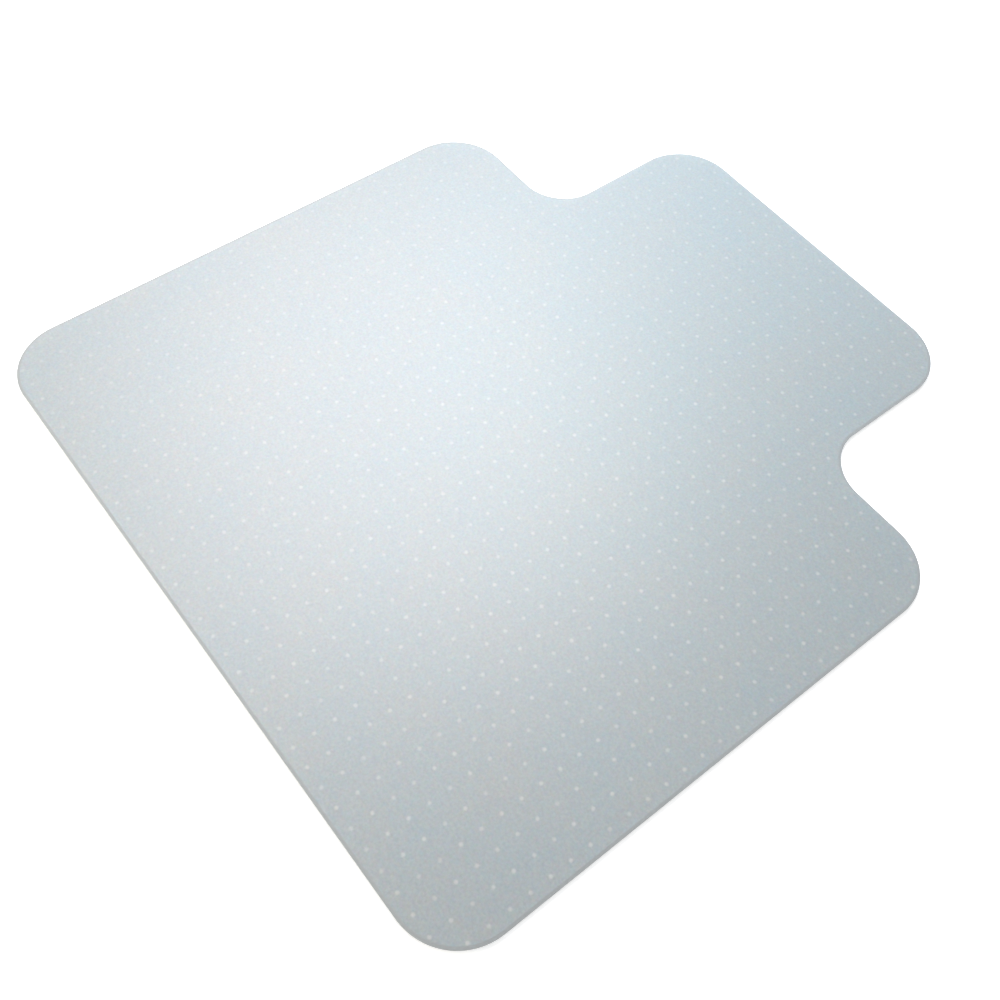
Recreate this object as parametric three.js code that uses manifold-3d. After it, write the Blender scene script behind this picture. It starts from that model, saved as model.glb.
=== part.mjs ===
// Chair mat: a flat moulded vinyl sheet with a lip that reaches in under the desk, standing on
// rows of short gripper studs that press into a carpet. Millimetres, +Z up.
// The stud tips stand on z = 0, +Y points to the lip, and X = 0 is the mirror plane.
import * as THREE from "three";
import Module from "manifold-3d";
import { mergeVertices } from "three/addons/utils/BufferGeometryUtils.js";

// Overall size
const WIDTH = 914;
const LENGTH = 978;
const HEIGHT = 7;

// Lip at the desk end
const LIP_WIDTH = 508;
const LIP_LENGTH = 254;

// The top slopes down a little all round, to the square-cut side of the sheet
const RIM_WIDTH = 3.5;
const RIM_DROP = 0.5;

// Corners of the outline: outer corners are round, and a fillet joins the lip to each shoulder
const CORNER_RADIUS = 75;
const FILLET_RADIUS = 62;
const ARC_SEGMENTS = 5;

// Gripper studs: blunt pegs on a square grid, one row for each step across the width
const STUD_LENGTH = 4;
const STUD_ROOT_DIAMETER = 5;
const STUD_TIP_DIAMETER = 2.4;
const STUD_SIDES = 4;
const STUD_PITCH_X = 26;
const STUD_PITCH_Y = 25.6;
const STUD_ROWS = 35;
const STUDS_IN_LONGEST_ROW = 38;
const STUD_EDGE_MARGIN = 5;

// Each row stands on a thin web, which is the lowest skin of the sheet
const WEB_THICKNESS = 0.5;
const WEB_WIDTH = 6;

const VINYL = { color: 0xcdd7dc, roughness: 0.42, metalness: 0 };
const STUD_VINYL = { color: 0xe4eaec, roughness: 0.38, metalness: 0 };

const wasm = await Module();
wasm.setup();

/** Outline of the mat, drawn in by `inset` all the way round. */
function matOutline(inset) {
  const side = WIDTH / 2 - inset;
  const lipSide = LIP_WIDTH / 2 - inset;
  const front = -LENGTH / 2 + inset;
  const lipEnd = LENGTH / 2 - inset;
  const shoulder = LENGTH / 2 - LIP_LENGTH - inset;
  const corner = CORNER_RADIUS - inset;
  const fillet = FILLET_RADIUS + inset;
  const quarter = Math.PI / 2;

  const outline = new THREE.Shape();
  outline.absarc(side - corner, front + corner, corner, -quarter, 0);
  outline.absarc(side - corner, shoulder - corner, corner, 0, quarter);
  outline.absarc(lipSide + fillet, shoulder + fillet, fillet, -quarter, -2 * quarter, true);
  outline.absarc(lipSide - corner, lipEnd - corner, corner, 0, quarter);
  outline.absarc(-lipSide + corner, lipEnd - corner, corner, quarter, 2 * quarter);
  outline.absarc(-lipSide - fillet, shoulder + fillet, fillet, 0, -quarter, true);
  outline.absarc(-side + corner, shoulder - corner, corner, quarter, 2 * quarter);
  outline.absarc(-side + corner, front + corner, corner, 2 * quarter, 3 * quarter);
  return outline;
}

/** Even-odd test of a point against a closed polygon. */
function isInside(polygon, x, y) {
  let inside = false;
  let previous = polygon[polygon.length - 1];
  for (const point of polygon) {
    const straddles = point.y > y !== previous.y > y;
    const crossing = point.x + ((y - point.y) * (previous.x - point.x)) / (previous.y - point.y);
    if (straddles && x < crossing) {
      inside = !inside;
    }
    previous = point;
  }
  return inside;
}

/** Distances along Y of the studs of the row at `x`: the grid points that keep clear of the edge. */
function studPositions(x) {
  const studArea = matOutline(STUD_EDGE_MARGIN).getPoints(ARC_SEGMENTS);
  const positions = [];
  for (let i = 0; i < STUDS_IN_LONGEST_ROW; i += 1) {
    const y = (i - (STUDS_IN_LONGEST_ROW - 1) / 2) * STUD_PITCH_Y;
    if (isInside(studArea, x, y)) {
      positions.push(y);
    }
  }
  return positions;
}

/** Turns a closed three.js geometry into a solid that can be joined. */
function toSolid(geometry) {
  geometry.deleteAttribute("normal");
  geometry.deleteAttribute("uv");
  const merged = mergeVertices(geometry);
  const vertProperties = new Float32Array(merged.attributes.position.array);
  const triVerts = new Uint32Array(merged.index.array);
  return new wasm.Manifold(new wasm.Mesh({ numProp: 3, vertProperties, triVerts }));
}

/** Turns a joined solid back into a three.js geometry. */
function toGeometry(solid) {
  const mesh = solid.getMesh();
  const geometry = new THREE.BufferGeometry();
  geometry.setAttribute("position", new THREE.BufferAttribute(mesh.vertProperties, 3));
  geometry.setIndex(new THREE.BufferAttribute(mesh.triVerts, 1));
  geometry.computeVertexNormals();
  return geometry;
}

/** The flat sheet: square-cut sides, and a top whose rim slopes down to them. */
function matSheet() {
  const underside = STUD_LENGTH + WEB_THICKNESS;
  const edge = matOutline(0).getPoints(ARC_SEGMENTS);
  const flat = matOutline(RIM_WIDTH).getPoints(ARC_SEGMENTS);
  const rings = [
    { points: edge, z: underside },
    { points: edge, z: HEIGHT - RIM_DROP },
    { points: flat, z: HEIGHT },
  ];
  const positions = rings.flatMap(({ points, z }) => points.flatMap((point) => [point.x, point.y, z]));

  const count = edge.length;
  const triangles = [];
  for (const ring of [0, count]) {
    for (let i = 0; i < count; i += 1) {
      const next = (i + 1) % count;
      triangles.push(ring + i, ring + next, ring + count + next);
      triangles.push(ring + i, ring + count + next, ring + count + i);
    }
  }
  for (const [a, b, c] of THREE.ShapeUtils.triangulateShape(edge, [])) {
    triangles.push(a, c, b);
  }
  for (const [a, b, c] of THREE.ShapeUtils.triangulateShape(flat, [])) {
    triangles.push(2 * count + a, 2 * count + b, 2 * count + c);
  }

  const geometry = new THREE.BufferGeometry();
  geometry.setAttribute("position", new THREE.Float32BufferAttribute(positions, 3));
  geometry.setIndex(triangles);
  geometry.computeVertexNormals();
  const sheet = new THREE.Mesh(geometry, new THREE.MeshStandardMaterial(VINYL));
  sheet.name = "mat_sheet";
  return sheet;
}

/** One blunt stud, pointing down from half way up the web to z = 0. */
function studGeometry(y) {
  const reach = STUD_LENGTH + WEB_THICKNESS / 2;
  const taper = (STUD_ROOT_DIAMETER - STUD_TIP_DIAMETER) / STUD_LENGTH;
  const tipRadius = STUD_TIP_DIAMETER / 2;
  const rootRadius = tipRadius + (taper * reach) / 2;
  const geometry = new THREE.CylinderGeometry(rootRadius, tipRadius, reach, STUD_SIDES);
  geometry.rotateX(Math.PI / 2);
  geometry.rotateZ(Math.PI / STUD_SIDES);
  geometry.translate(0, y, reach / 2);
  return geometry;
}

/** One row of studs on its web, along Y. */
function studRow(number) {
  const x = (number - (STUD_ROWS + 1) / 2) * STUD_PITCH_X;
  const positions = studPositions(x);
  const first = positions[0];
  const last = positions[positions.length - 1];
  const web = new THREE.BoxGeometry(WEB_WIDTH, last - first + WEB_WIDTH, WEB_THICKNESS);
  web.translate(0, (first + last) / 2, STUD_LENGTH + WEB_THICKNESS / 2);

  let row = toSolid(web);
  for (const y of positions) {
    row = row.add(toSolid(studGeometry(y)));
  }
  const geometry = toGeometry(row.simplify());
  const mesh = new THREE.Mesh(geometry, new THREE.MeshStandardMaterial(STUD_VINYL));
  mesh.name = `stud_row_${String(number).padStart(2, "0")}`;
  mesh.position.x = x;
  return mesh;
}

const chairMat = new THREE.Group();
chairMat.add(matSheet());
for (let number = 1; number <= STUD_ROWS; number += 1) {
  chairMat.add(studRow(number));
}

export default chairMat;
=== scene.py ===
# Chair mat: a frosted, see-through vinyl sheet with a lip for under the desk, standing on rows of
# moulded gripper studs. Metres, +Z up, +Y towards the lip, stud tips on z = 0.
import math

import bmesh
import bpy
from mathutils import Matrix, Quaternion, Vector, noise


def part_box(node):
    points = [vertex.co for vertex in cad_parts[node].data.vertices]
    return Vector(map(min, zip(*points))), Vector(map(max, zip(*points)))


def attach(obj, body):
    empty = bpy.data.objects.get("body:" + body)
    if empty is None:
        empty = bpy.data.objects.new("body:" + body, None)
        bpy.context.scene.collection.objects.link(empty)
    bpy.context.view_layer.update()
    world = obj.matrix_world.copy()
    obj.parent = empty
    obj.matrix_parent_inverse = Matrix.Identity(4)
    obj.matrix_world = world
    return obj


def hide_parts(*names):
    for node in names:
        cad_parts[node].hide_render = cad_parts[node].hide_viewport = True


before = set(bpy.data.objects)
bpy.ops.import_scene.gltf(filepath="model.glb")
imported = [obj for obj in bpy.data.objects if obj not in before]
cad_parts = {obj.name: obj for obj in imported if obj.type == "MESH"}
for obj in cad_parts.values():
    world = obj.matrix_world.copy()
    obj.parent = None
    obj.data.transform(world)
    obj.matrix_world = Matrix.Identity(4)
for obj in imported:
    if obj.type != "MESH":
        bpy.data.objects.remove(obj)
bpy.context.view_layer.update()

MM = 0.001

# Sheet. Its width, length and height come from the frame, and the rest of its outline is here.
LIP_WIDTH = 508 * MM
LIP_LENGTH = 254 * MM
CORNER_RADIUS = 75 * MM
FILLET_RADIUS = 62 * MM
ARC_STEPS = 28
SHEET_THICKNESS = 3 * MM
RIM_WIDTH = 3.5 * MM
RIM_DROP = 0.5 * MM
RIM_EASE = 0.3 * MM
BOTTOM_EASE = 0.3 * MM
EASE_STEPS = 20
SHEET_CREASE = math.radians(5)

# The top inside the rim dips a little here and there
DIP_DEPTH = 0.12 * MM
DIP_LENGTH = 160 * MM
TOP_TOLERANCE = 0.001 * MM

# Studs. Each row's place comes from the frame. A stud's outline is in (radius, distance) pairs: the
# root's distances are down from the underside of the sheet, and the tip's are up from the floor.
STUD_ROWS = 35
STUD_PITCH_Y = 25.6 * MM
WEB_WIDTH = 6 * MM
STUD_SIDES = 14
STUD_ROOT = (
    (3.1 * MM, -0.2 * MM),
    (3.0 * MM, 0.02 * MM),
    (2.62 * MM, 0.2 * MM),
    (2.4 * MM, 0.55 * MM),
)
STUD_TIP = (
    (1.3 * MM, 0.35 * MM),
    (1.12 * MM, 0.1 * MM),
    (0.8 * MM, 0.0),
)
STUD_CREASE = math.radians(50)

# Vinyl. A SIZE is how wide a noise's blotches are, its SPREAD is where most of its values lie, and a
# DEPTH is how high its bumps stand.
VINYL_IOR = 1.53
VINYL_SPECULAR = 0.8
VINYL_TRANSMISSION = 0.3
NOISE_SPREAD = (0.3, 0.7)
BUMP_STRENGTH = 0.5

# Frosted top and underside of the sheet
SHEET_DARK = (0.246, 0.292, 0.304, 1)
SHEET_LIGHT = (0.328, 0.374, 0.386, 1)
SHEET_MOTTLE_SIZE = 2.6 * MM
FLECK_SIZE = 3.5 * MM
FLECK_SHARE = 0.13
COOL_HUE = (0.18, 0.50, 0.70, 1)
WARM_HUE = (0.82, 0.50, 0.30, 1)
HUE_PATCHES = ((8 * MM, 0.06), (90 * MM, 0.035))
FROST_SIZE = 1.1 * MM
FROST_SPREAD = (0.25, 0.75)
FROST_ROUGHNESS = (0.36, 0.48)
FROST_DEPTH = 0.05 * MM
RIPPLE_SIZE = 9 * MM
RIPPLE_DEPTH = 0.08 * MM
RIPPLE_STRENGTH = 0.4

# Pale spot over each stud. Its strength is random, and drifts from the left side to the right. The
# drift is painted light: the spots are weaker on the left, where the sheen is bright, and stronger on
# the right, where the mat lies in shade.
SPOT_COLOUR = (0.88, 0.83, 0.76, 1)
SPOT_CORE = 0.7 * MM
SPOT_RADIUS = 3.5 * MM
SPOT_STRENGTH = (0.15, 0.22)
SPOT_PAINTED_LIGHT_DRIFT = (0.6, 1.45)

# Rim and cut side of the sheet. Their tone is partly painted shade: it is set a step darker so that the
# rim shows as a darker band along the edges.
EDGE_SHADED_DARK = (0.329, 0.348, 0.352, 1)
EDGE_SHADED_LIGHT = (0.361, 0.380, 0.384, 1)
EDGE_MOTTLE_SIZE = 3 * MM
MARK_SIZE = 0.9 * MM
MARK_SQUEEZE = (1.0, 1.0, 0.08)
MARK_ROUGHNESS = (0.36, 0.5)
MARK_DEPTH = 0.04 * MM

# Moulded surface of the studs
STUD_DARK = (0.56, 0.60, 0.61, 1)
STUD_LIGHT = (0.66, 0.69, 0.69, 1)
STUD_MOTTLE_SIZE = 6 * MM
STUD_GRAIN_SIZE = 0.6 * MM
STUD_ROUGHNESS = (0.28, 0.4)
STUD_GRAIN_DEPTH = 0.03 * MM

# Camera: 42.9 mm lens on the default 36 mm sensor, a little rolled
CAMERA_PLACE = (0.6090, -0.6302, 1.1820)
CAMERA_TARGET = (0.0687, -0.1149, 0.0)
CAMERA_ROLL = math.radians(6.46)
CAMERA_LENS = 42.91

# Lights: name, azimuth from +Y towards +X, elevation, size, watts, colour. Fills don't show in gloss.
BIG_LIGHT = 1.4
SMALL_LIGHT = 0.7
LIGHT_DISTANCE = 2.0
LIGHTS = (
    ("key_left", -75, 58, BIG_LIGHT, 34.6, (0.98, 0.96, 1.0)),
    ("key_right", -60, 52, BIG_LIGHT, 16.2, (0.99, 0.95, 0.99)),
    ("glow", -38, 55, SMALL_LIGHT, 5.7, (0.70, 0.96, 0.98)),
    ("window", -30, 25, BIG_LIGHT, 10.2, (0.46, 0.77, 1.0)),
)
FILL_LIGHTS = (
    ("front_fill", 200, 12, SMALL_LIGHT, 18.0, (1.0, 0.87, 0.62)),
    ("right_fill", 90, 12, SMALL_LIGHT, 3.0, (1.0, 0.97, 0.93)),
)
WHITE = (1, 1, 1, 1)
WORLD_STRENGTH = 0.65

# Floor, which glows like a light table round the mat and fades to the brightness of the world
FLOOR_SIZE = 80.0
FLOOR_WHITE = 0.95
FLOOR_ROUGHNESS = 0.9
FLOOR_GLOW = 0.4
GLOW_REACH = (1.2, 6.0)

SHEET_LOW, SHEET_HIGH = (Vector(corner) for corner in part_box("mat_sheet"))
SHEET_TOP = SHEET_HIGH.z
SHEET_UNDER = SHEET_TOP - SHEET_THICKNESS


# Objects and nodes


def add_object(name, data):
    """Adds an object with this data to the scene."""
    added = bpy.data.objects.new(name, data)
    bpy.context.collection.objects.link(added)
    return added


def add_mesh(name, mesh, crease):
    """Adds a bmesh to the scene, shaded smooth but for edges that bend by more than `crease`."""
    data = bpy.data.meshes.new(name)
    mesh.to_mesh(data)
    mesh.free()
    data.shade_smooth()
    data.set_sharp_from_angle(angle=crease)
    return add_object(name, data)


def new_material(name):
    """A material with a Principled shader, its node tree and that shader."""
    material = bpy.data.materials.new(name)
    material.use_nodes = True
    tree = material.node_tree
    return material, tree, tree.nodes["Principled BSDF"]


def wire(tree, source, target):
    """Feeds a socket from a node's output socket, or sets it to a plain value."""
    if isinstance(source, bpy.types.NodeSocket):
        tree.links.new(source, target)
    else:
        target.default_value = source


def math_node(tree, operation, first, second=None, third=None):
    """One Math node, and its result."""
    node = tree.nodes.new("ShaderNodeMath")
    node.operation = operation
    for socket, value in zip(node.inputs, (first, second, third)):
        if value is not None:
            wire(tree, value, socket)
    return node.outputs[0]


def object_place(tree):
    """The point on the surface in the row frame, in metres."""
    return tree.nodes.new("ShaderNodeTexCoord").outputs["Object"]


def noise_texture(tree, place, size, detail=3.0, roughness=0.5, output="Fac"):
    """Noise from 0 to 1, or a noise colour, whose blotches are about `size` metres across."""
    node = tree.nodes.new("ShaderNodeTexNoise")
    wire(tree, place, node.inputs["Vector"])
    node.inputs["Scale"].default_value = 1 / size
    node.inputs["Detail"].default_value = detail
    node.inputs["Roughness"].default_value = roughness
    return node.outputs[output]


def map_range(tree, value, source, target, smooth=False):
    """Scales a value from one (low, high) range to another, held at the ends."""
    node = tree.nodes.new("ShaderNodeMapRange")
    node.interpolation_type = "SMOOTHSTEP" if smooth else "LINEAR"
    wire(tree, value, node.inputs["Value"])
    node.inputs["From Min"].default_value = source[0]
    node.inputs["From Max"].default_value = source[1]
    node.inputs["To Min"].default_value = target[0]
    node.inputs["To Max"].default_value = target[1]
    return node.outputs["Result"]


def mix_colours(tree, share, first, second):
    """A mix of two colours."""
    node = tree.nodes.new("ShaderNodeMix")
    node.data_type = "RGBA"
    wire(tree, share, node.inputs["Factor"])
    wire(tree, first, node.inputs["A"])
    wire(tree, second, node.inputs["B"])
    return node.outputs["Result"]


def mottled(tree, place, size, first, second):
    """Two colours in soft blotches about `size` metres across."""
    blotches = noise_texture(tree, place, size, roughness=0.6)
    return mix_colours(tree, map_range(tree, blotches, NOISE_SPREAD, (0.0, 1.0)), first, second)


def bump(tree, height, depth, strength=BUMP_STRENGTH, normal=None):
    """A Bump node for a height from 0 to 1 that stands for `depth` metres."""
    node = tree.nodes.new("ShaderNodeBump")
    node.inputs["Strength"].default_value = strength
    node.inputs["Distance"].default_value = depth
    wire(tree, height, node.inputs["Height"])
    if normal is not None:
        wire(tree, normal, node.inputs["Normal"])
    return node.outputs["Normal"]


# Sheet


def arc(centre, radius, start, end):
    """Points along an arc, from one angle in degrees to another."""
    points = []
    for step in range(ARC_STEPS + 1):
        angle = math.radians(start + (end - start) * step / ARC_STEPS)
        points.append((centre[0] + radius * math.cos(angle), centre[1] + radius * math.sin(angle)))
    return points


def sheet_outline(inset):
    """The sheet's outline, anticlockwise from above, drawn in by `inset` all the way round."""
    side = SHEET_HIGH.x - inset
    lip_side = LIP_WIDTH / 2 - inset
    front = SHEET_LOW.y + inset
    lip_end = SHEET_HIGH.y - inset
    shoulder = SHEET_HIGH.y - LIP_LENGTH - inset
    corner = CORNER_RADIUS - inset
    fillet = FILLET_RADIUS + inset
    right = arc((side - corner, front + corner), corner, -90, 0)
    right += arc((side - corner, shoulder - corner), corner, 0, 90)
    right += arc((lip_side + fillet, shoulder + fillet), fillet, -90, -180)
    right += arc((lip_side - corner, lip_end - corner), corner, 0, 90)
    left = [(-x, y) for x, y in reversed(right)]
    return right + left


def edge_profile():
    """(inset, height) of each ring round the edge, from the underside to the flat top."""
    rings = []
    for step in range(EASE_STEPS + 1):
        angle = math.pi / 2 * step / EASE_STEPS
        inset = BOTTOM_EASE * (1 - math.sin(angle))
        rings.append((inset, SHEET_UNDER + BOTTOM_EASE * (1 - math.cos(angle))))
    slope = math.atan2(RIM_DROP, RIM_WIDTH)
    corner = RIM_EASE * math.tan((math.pi / 2 - slope) / 2)
    middle = SHEET_TOP - RIM_DROP - corner
    for step in range(EASE_STEPS + 1):
        angle = (math.pi / 2 - slope) * step / EASE_STEPS
        rings.append((RIM_EASE * (1 - math.cos(angle)), middle + RIM_EASE * math.sin(angle)))
    rings.append((RIM_WIDTH, SHEET_TOP))
    return rings


def stud_rows():
    """The place across the mat of each row of studs, and the places of its studs along it."""
    rows = []
    for number in range(1, STUD_ROWS + 1):
        low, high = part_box(f"stud_row_{number:02d}")
        first = low[1] + WEB_WIDTH / 2
        count = round((high[1] - low[1] - WEB_WIDTH) / STUD_PITCH_Y) + 1
        rows.append(((low[0] + high[0]) / 2, [first + i * STUD_PITCH_Y for i in range(count)]))
    return rows


ROWS = stud_rows()
STUD_PITCH_X = ROWS[1][0] - ROWS[0][0]


def cell_borders():
    """(point, normal) of each plane half a step away from the studs, across the mat and along it."""
    longest = max((places for _, places in ROWS), key=len)
    borders = [(Vector((x + STUD_PITCH_X / 2, 0, 0)), Vector((1, 0, 0))) for x, _ in ROWS]
    borders += [(Vector((0, y + STUD_PITCH_Y / 2, 0)), Vector((0, 1, 0))) for y in longest]
    borders.append((Vector((ROWS[0][0] - STUD_PITCH_X / 2, 0, 0)), Vector((1, 0, 0))))
    borders.append((Vector((0, longest[0] - STUD_PITCH_Y / 2, 0)), Vector((0, 1, 0))))
    return borders


def cut_into_cells(mesh, cap):
    """Cuts a flat cap along the borders of the cells, one cell to each stud."""
    faces = {cap}
    for place, normal in cell_borders():
        edges = {edge for face in faces for edge in face.edges}
        verts = {vert for face in faces for vert in face.verts}
        result = bmesh.ops.bisect_plane(
            mesh, geom=[*verts, *edges, *faces], plane_co=place, plane_no=normal
        )
        faces = {item for item in result["geom"] if isinstance(item, bmesh.types.BMFace)}
    return faces


def mark_stud_cells(mesh, faces):
    """Marks each cell that holds the place of a stud."""
    layer = mesh.faces.layers.float["stud_cell"]
    centres = [(x, y) for x, places in ROWS for y in places]
    for face in faces:
        low_x = min(vert.co.x for vert in face.verts)
        high_x = max(vert.co.x for vert in face.verts)
        low_y = min(vert.co.y for vert in face.verts)
        high_y = max(vert.co.y for vert in face.verts)
        holds = any(low_x < x < high_x and low_y < y < high_y for x, y in centres)
        face[layer] = 1.0 if holds else 0.0


def dip_top(mesh, rim):
    """Lowers the top inside the rim by noise, from nothing to the full depth of a dip."""
    for vert in mesh.verts:
        if vert.co.z > SHEET_TOP - TOP_TOLERANCE and vert not in rim:
            height = noise.noise(vert.co / DIP_LENGTH)
            vert.co.z -= DIP_DEPTH * (0.5 + 0.5 * height)


def make_sheet():
    """The sheet, with eased edges, cells over the studs and a top that isn't perfectly flat."""
    mesh = bmesh.new()
    mesh.faces.layers.float.new("stud_cell")
    rings = []
    for inset, height in edge_profile():
        rings.append([mesh.verts.new((x, y, height)) for x, y in sheet_outline(inset)])
    for lower, upper in zip(rings, rings[1:]):
        for i in range(len(lower)):
            j = (i + 1) % len(lower)
            side = mesh.faces.new((lower[i], lower[j], upper[j], upper[i]))
            side.material_index = 1
    under = mesh.faces.new(list(reversed(rings[0])))
    top = mesh.faces.new(rings[-1])
    cells = cut_into_cells(mesh, top)
    cells |= cut_into_cells(mesh, under)
    mark_stud_cells(mesh, cells)
    dip_top(mesh, set(rings[-1]))
    return add_mesh("vinyl_sheet", mesh, SHEET_CREASE)


# Studs


def stud_profile():
    """(radius, height) down one stud, from inside the sheet over its root fillet to the tip."""
    root = [(radius, SHEET_UNDER - drop) for radius, drop in STUD_ROOT]
    return root + list(STUD_TIP)


def make_stud_row(name, x, places):
    """One row of round, blunt studs."""
    mesh = bmesh.new()
    profile = stud_profile()
    for y in places:
        rings = []
        for radius, height in profile:
            ring = []
            for step in range(STUD_SIDES):
                angle = 2 * math.pi * step / STUD_SIDES
                place = (x + radius * math.cos(angle), y + radius * math.sin(angle), height)
                ring.append(mesh.verts.new(place))
            rings.append(ring)
        for upper, lower in zip(rings, rings[1:]):
            for i in range(STUD_SIDES):
                j = (i + 1) % STUD_SIDES
                mesh.faces.new((lower[i], lower[j], upper[j], upper[i]))
        mesh.faces.new(rings[0])
        mesh.faces.new(list(reversed(rings[-1])))
    return add_mesh(name, mesh, STUD_CREASE)


# Materials


def new_vinyl(name):
    """A material whose shader has the vinyl's gloss and lets a part of the light through."""
    material, tree, shader = new_material(name)
    shader.inputs["IOR"].default_value = VINYL_IOR
    shader.inputs["Specular IOR Level"].default_value = VINYL_SPECULAR
    shader.inputs["Transmission Weight"].default_value = VINYL_TRANSMISSION
    return material, tree, shader


def from_nearest(tree, value, pitch, shift):
    """Distance to the nearest of the stud grid's lines, which are `shift` steps off, and its number."""
    steps = math_node(tree, "ADD", math_node(tree, "DIVIDE", value, pitch), shift)
    number = math_node(tree, "ROUND", steps)
    away = math_node(tree, "SUBTRACT", steps, number)
    return math_node(tree, "MULTIPLY", away, pitch), number


def stud_spots(tree, place):
    """How strong the spot over a stud is, 0 outside it, and a random number for each stud."""
    axes = tree.nodes.new("ShaderNodeSeparateXYZ")
    wire(tree, place, axes.inputs[0])
    across, column = from_nearest(tree, axes.outputs["X"], STUD_PITCH_X, 0.0)
    along, line = from_nearest(tree, axes.outputs["Y"], STUD_PITCH_Y, 0.5)
    square = math_node(tree, "MULTIPLY_ADD", along, along, math_node(tree, "POWER", across, 2.0))
    away = math_node(tree, "SQRT", square)
    number = tree.nodes.new("ShaderNodeCombineXYZ")
    wire(tree, column, number.inputs["X"])
    wire(tree, line, number.inputs["Y"])
    chance = tree.nodes.new("ShaderNodeTexWhiteNoise")
    wire(tree, number.outputs[0], chance.inputs["Vector"])
    spot = map_range(tree, away, (SPOT_CORE, SPOT_RADIUS), (1.0, 0.0), smooth=True)
    # Painted light: the spots grow from weak on the brightly lit left side to strong on the shaded
    # right side
    side = map_range(tree, axes.outputs["X"], (SHEET_LOW.x, SHEET_HIGH.x), SPOT_PAINTED_LIGHT_DRIFT)
    spot = math_node(tree, "MULTIPLY", spot, side)
    cell = tree.nodes.new("ShaderNodeAttribute")
    cell.attribute_name = "stud_cell"
    return math_node(tree, "MULTIPLY", spot, cell.outputs["Fac"]), chance.outputs["Value"]


def frosted_vinyl():
    """The sheet's frosted top and underside, with the studs' roots showing through as spots."""
    material, tree, shader = new_vinyl("frosted_vinyl")
    place = object_place(tree)
    body = mottled(tree, place, SHEET_MOTTLE_SIZE, SHEET_DARK, SHEET_LIGHT)
    flecks = noise_texture(tree, place, FLECK_SIZE, detail=4.0, output="Color")
    body = mix_colours(tree, FLECK_SHARE, body, flecks)
    for size, share in HUE_PATCHES:
        body = mix_colours(tree, share, body, mottled(tree, place, size, COOL_HUE, WARM_HUE))
    spot, chance = stud_spots(tree, place)
    strength = math_node(tree, "MULTIPLY", spot, map_range(tree, chance, (0.0, 1.0), SPOT_STRENGTH))
    wire(tree, mix_colours(tree, strength, body, SPOT_COLOUR), shader.inputs["Base Color"])
    frost = noise_texture(tree, place, FROST_SIZE, roughness=0.65)
    wire(tree, map_range(tree, frost, FROST_SPREAD, FROST_ROUGHNESS), shader.inputs["Roughness"])
    ripple = noise_texture(tree, place, RIPPLE_SIZE, detail=4.0, roughness=0.6)
    fine = bump(tree, frost, FROST_DEPTH)
    wire(tree, bump(tree, ripple, RIPPLE_DEPTH, RIPPLE_STRENGTH, fine), shader.inputs["Normal"])
    return material


def cut_edge():
    """The sloping rim and the cut side, with faint knife marks, in a tone set a step darker as painted
    shade.
    """
    material, tree, shader = new_vinyl("cut_edge")
    place = object_place(tree)
    body = mottled(tree, place, EDGE_MOTTLE_SIZE, EDGE_SHADED_DARK, EDGE_SHADED_LIGHT)
    wire(tree, body, shader.inputs["Base Color"])
    squeeze = tree.nodes.new("ShaderNodeMapping")
    squeeze.inputs["Scale"].default_value = MARK_SQUEEZE
    wire(tree, place, squeeze.inputs["Vector"])
    marks = noise_texture(tree, squeeze.outputs[0], MARK_SIZE)
    wire(tree, map_range(tree, marks, NOISE_SPREAD, MARK_ROUGHNESS), shader.inputs["Roughness"])
    wire(tree, bump(tree, marks, MARK_DEPTH), shader.inputs["Normal"])
    return material


def stud_vinyl():
    """The studs: the same vinyl, smooth from the mould and a little whiter where it is thick."""
    material, tree, shader = new_vinyl("stud_vinyl")
    place = object_place(tree)
    body = mottled(tree, place, STUD_MOTTLE_SIZE, STUD_DARK, STUD_LIGHT)
    wire(tree, body, shader.inputs["Base Color"])
    grain = noise_texture(tree, place, STUD_GRAIN_SIZE, detail=2.0)
    wire(tree, map_range(tree, grain, NOISE_SPREAD, STUD_ROUGHNESS), shader.inputs["Roughness"])
    wire(tree, bump(tree, grain, STUD_GRAIN_DEPTH), shader.inputs["Normal"])
    return material


# Stage


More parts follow.
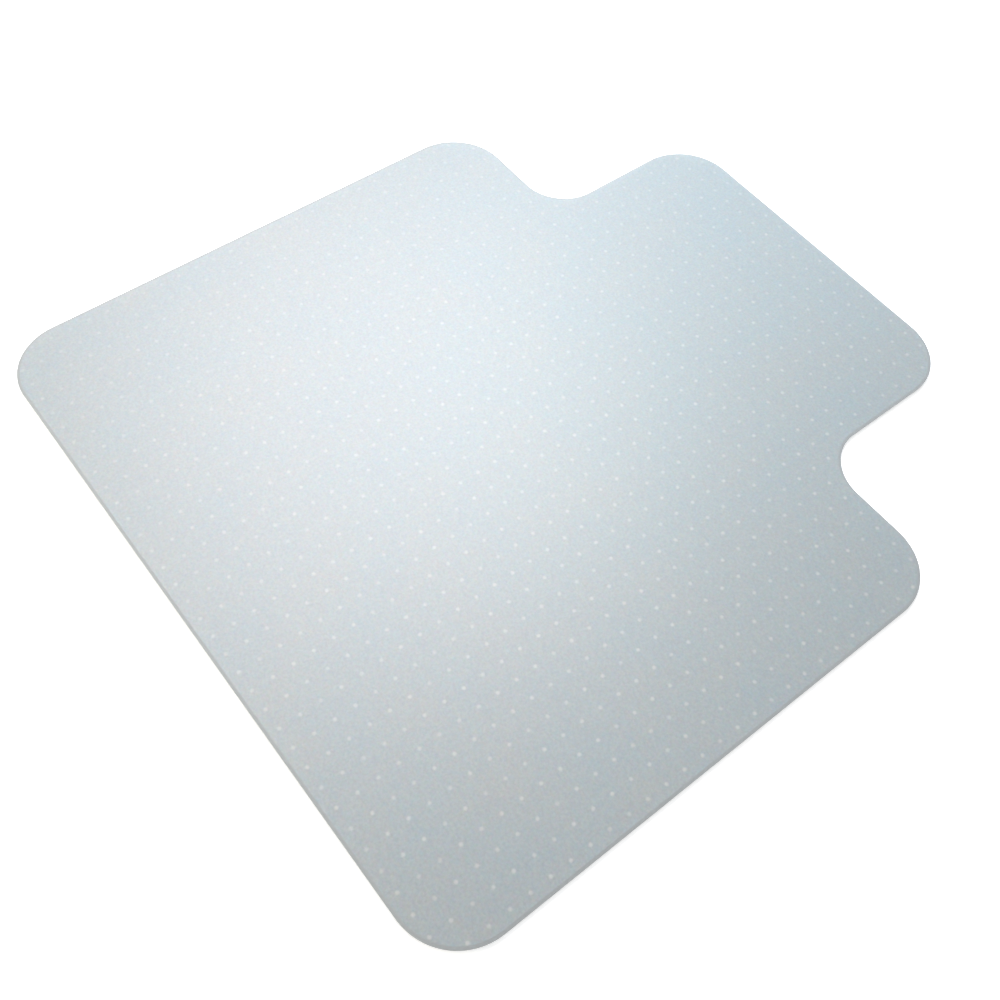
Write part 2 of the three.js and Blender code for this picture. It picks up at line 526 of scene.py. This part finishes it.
def make_floor():
    """A plain pale floor under the stud tips, which glows round the mat."""
    bpy.ops.mesh.primitive_plane_add(size=FLOOR_SIZE, location=(0, 0, 0))
    floor = bpy.context.object
    floor.name = "floor"
    material, tree, shader = new_material("pale_floor")
    shader.inputs["Base Color"].default_value = (FLOOR_WHITE, FLOOR_WHITE, FLOOR_WHITE, 1)
    shader.inputs["Roughness"].default_value = FLOOR_ROUGHNESS
    away = tree.nodes.new("ShaderNodeVectorMath")
    away.operation = "LENGTH"
    wire(tree, object_place(tree), away.inputs[0])
    far_glow = WORLD_STRENGTH * (1 - FLOOR_WHITE)
    glow = map_range(tree, away.outputs["Value"], GLOW_REACH, (FLOOR_GLOW, far_glow), smooth=True)
    shader.inputs["Emission Color"].default_value = WHITE
    wire(tree, glow, shader.inputs["Emission Strength"])
    floor.data.materials.append(material)


def make_light(name, azimuth, elevation, size, watts, colour):
    """A square soft light that faces the middle of the mat."""
    data = bpy.data.lights.new(name, "AREA")
    data.size = size
    data.energy = watts
    data.color = colour
    light = add_object(name, data)
    turn, tilt = math.radians(azimuth), math.radians(elevation)
    away = Vector((math.sin(turn) * math.cos(tilt), math.cos(turn) * math.cos(tilt), math.sin(tilt)))
    light.location = away * LIGHT_DISTANCE
    light.rotation_euler = away.to_track_quat("Z", "Y").to_euler()
    return light


def make_world():
    """An even white surround."""
    world = bpy.data.worlds.new("world")
    world.use_nodes = True
    background = world.node_tree.nodes["Background"]
    background.inputs["Color"].default_value = WHITE
    background.inputs["Strength"].default_value = WORLD_STRENGTH
    bpy.context.scene.world = world


def make_camera():
    """The camera, with its small roll."""
    data = bpy.data.cameras.new("camera")
    data.lens = CAMERA_LENS
    camera = add_object("camera", data)
    camera.location = CAMERA_PLACE
    look = Vector(CAMERA_TARGET) - Vector(CAMERA_PLACE)
    turn = look.to_track_quat("-Z", "Y") @ Quaternion((0, 0, 1), CAMERA_ROLL)
    camera.rotation_euler = turn.to_euler()
    bpy.context.scene.camera = camera


sheet = make_sheet()
sheet.data.materials.append(frosted_vinyl())
sheet.data.materials.append(cut_edge())
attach(sheet, "root")
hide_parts("mat_sheet")

stud_material = stud_vinyl()
for number, (x, places) in enumerate(ROWS, start=1):
    row = make_stud_row(f"grip_row_{number:02d}", x, places)
    row.data.materials.append(stud_material)
    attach(row, "root")
    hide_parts(f"stud_row_{number:02d}")

make_floor()
for light in LIGHTS:
    make_light(*light)
for light in FILL_LIGHTS:
    make_light(*light).visible_glossy = False
make_camera()
make_world()
bpy.context.scene.view_settings.view_transform = "Standard"
